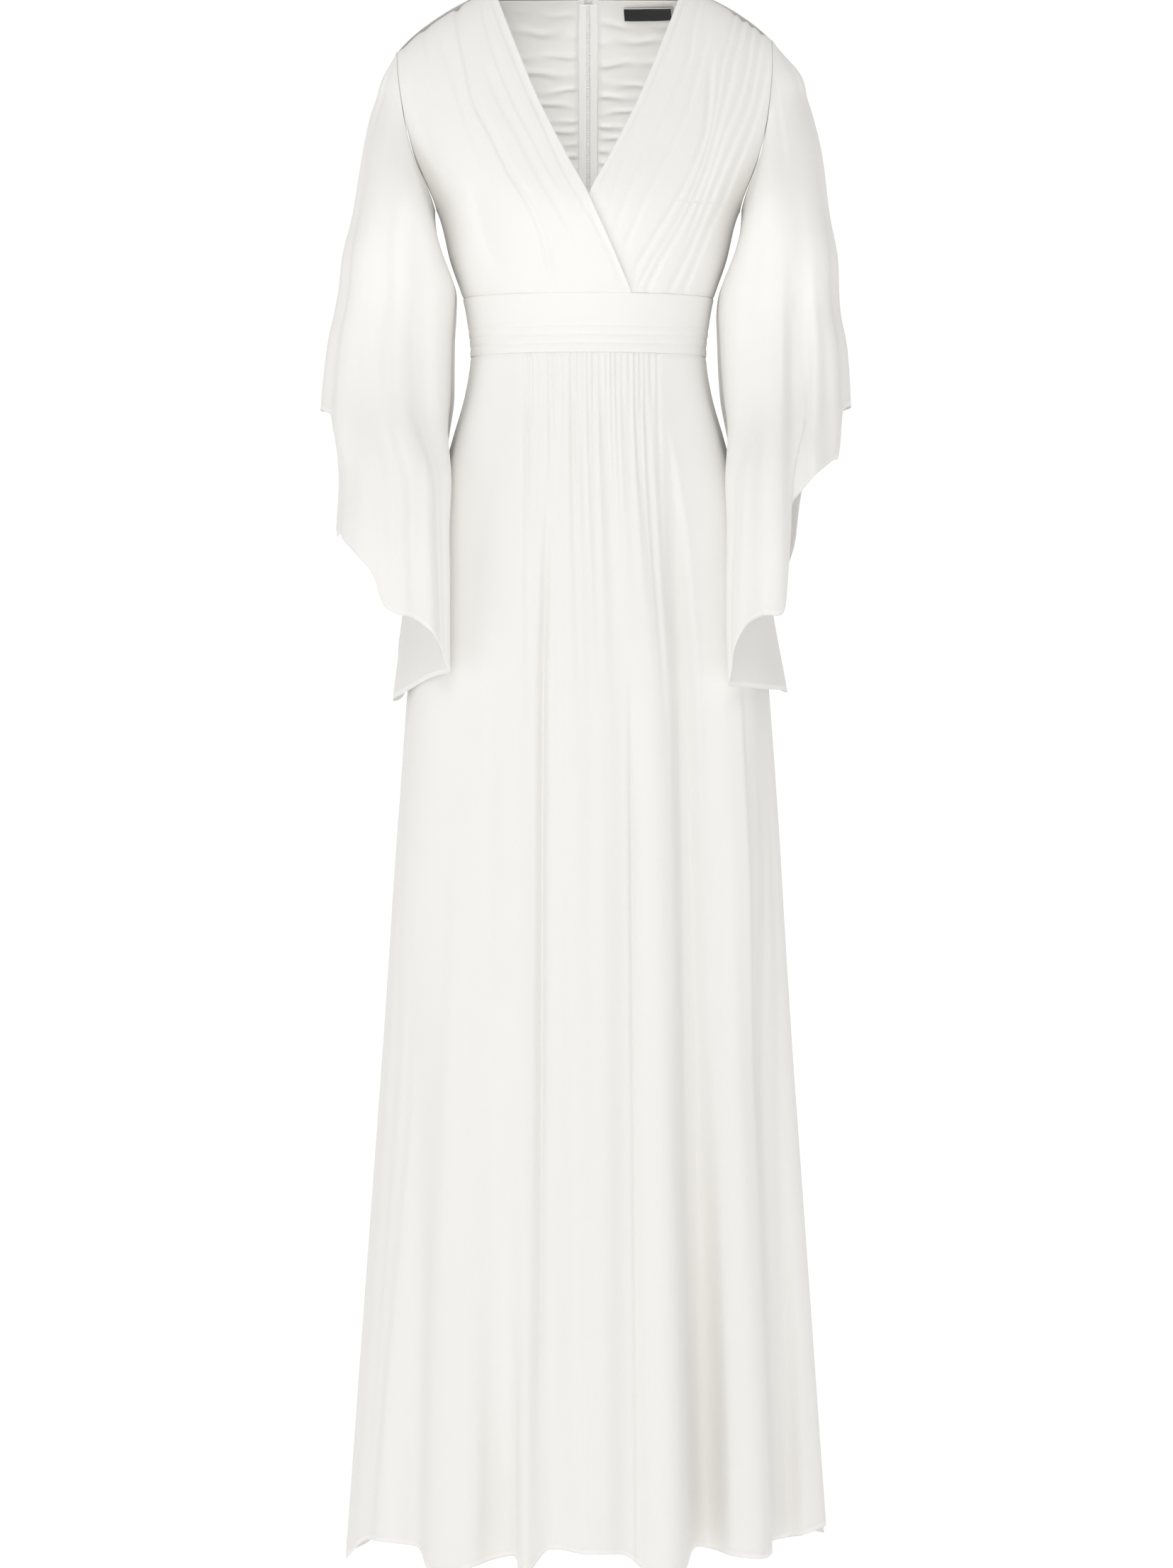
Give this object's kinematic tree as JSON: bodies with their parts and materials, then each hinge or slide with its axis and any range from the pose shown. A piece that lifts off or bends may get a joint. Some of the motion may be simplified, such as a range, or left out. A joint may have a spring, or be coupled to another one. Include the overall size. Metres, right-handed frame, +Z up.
{
  "type": "evening dress",
  "caption": "Floor-length evening dress with a pleated wrap neck, tucked waistband, gathered skirt and long stepped flutter sleeves, hollow and filled out as worn.",
  "frame": {"origin": "midway between the two shoulder seams at the height of the neck points, where a wearer or a dress form carries it", "axes": "+Z up, -Y the front of the dress, +X the wearer's left"},
  "size_m": [0.5265, 0.4246, 1.5513],
  "materials": {
    "chiffon": "sheer ivory chiffon over a plain underlayer, soft and matt",
    "lining_satin": "ivory satin lining, soft sheen",
    "zip_tape": "woven polyester tape and nylon coil",
    "zip_metal": "off-white enamelled zinc",
    "label": "black woven damask, left bare"
  },
  "bodies": {
    "dress": {"front_right": "chiffon", "front_left": "chiffon", "bodice_back_right": "chiffon", "bodice_back_left": "chiffon", "waistband_front": "chiffon", "waistband_back_left": "chiffon", "waistband_back_right": "chiffon", "skirt_front": "chiffon", "skirt_back_left": "chiffon", "skirt_back_right": "chiffon", "sleeve_right": "chiffon", "sleeve_left": "chiffon", "back_lining_right": "lining_satin", "back_lining_left": "lining_satin", "zip_tape": "zip_tape", "zip_coil": "zip_tape", "zip_slider": "zip_metal", "neck_label": "label"},
    "pull": {"zip_pull": "zip_metal"}
  },
  "joints": [
    {"name": "pull_swing", "type": "hinge", "parent": "dress", "child": "pull", "pos_m": [0, 0.06951, -0.00726], "axis": [1, 0, 0], "range_deg": [0, 150]}
  ]
}
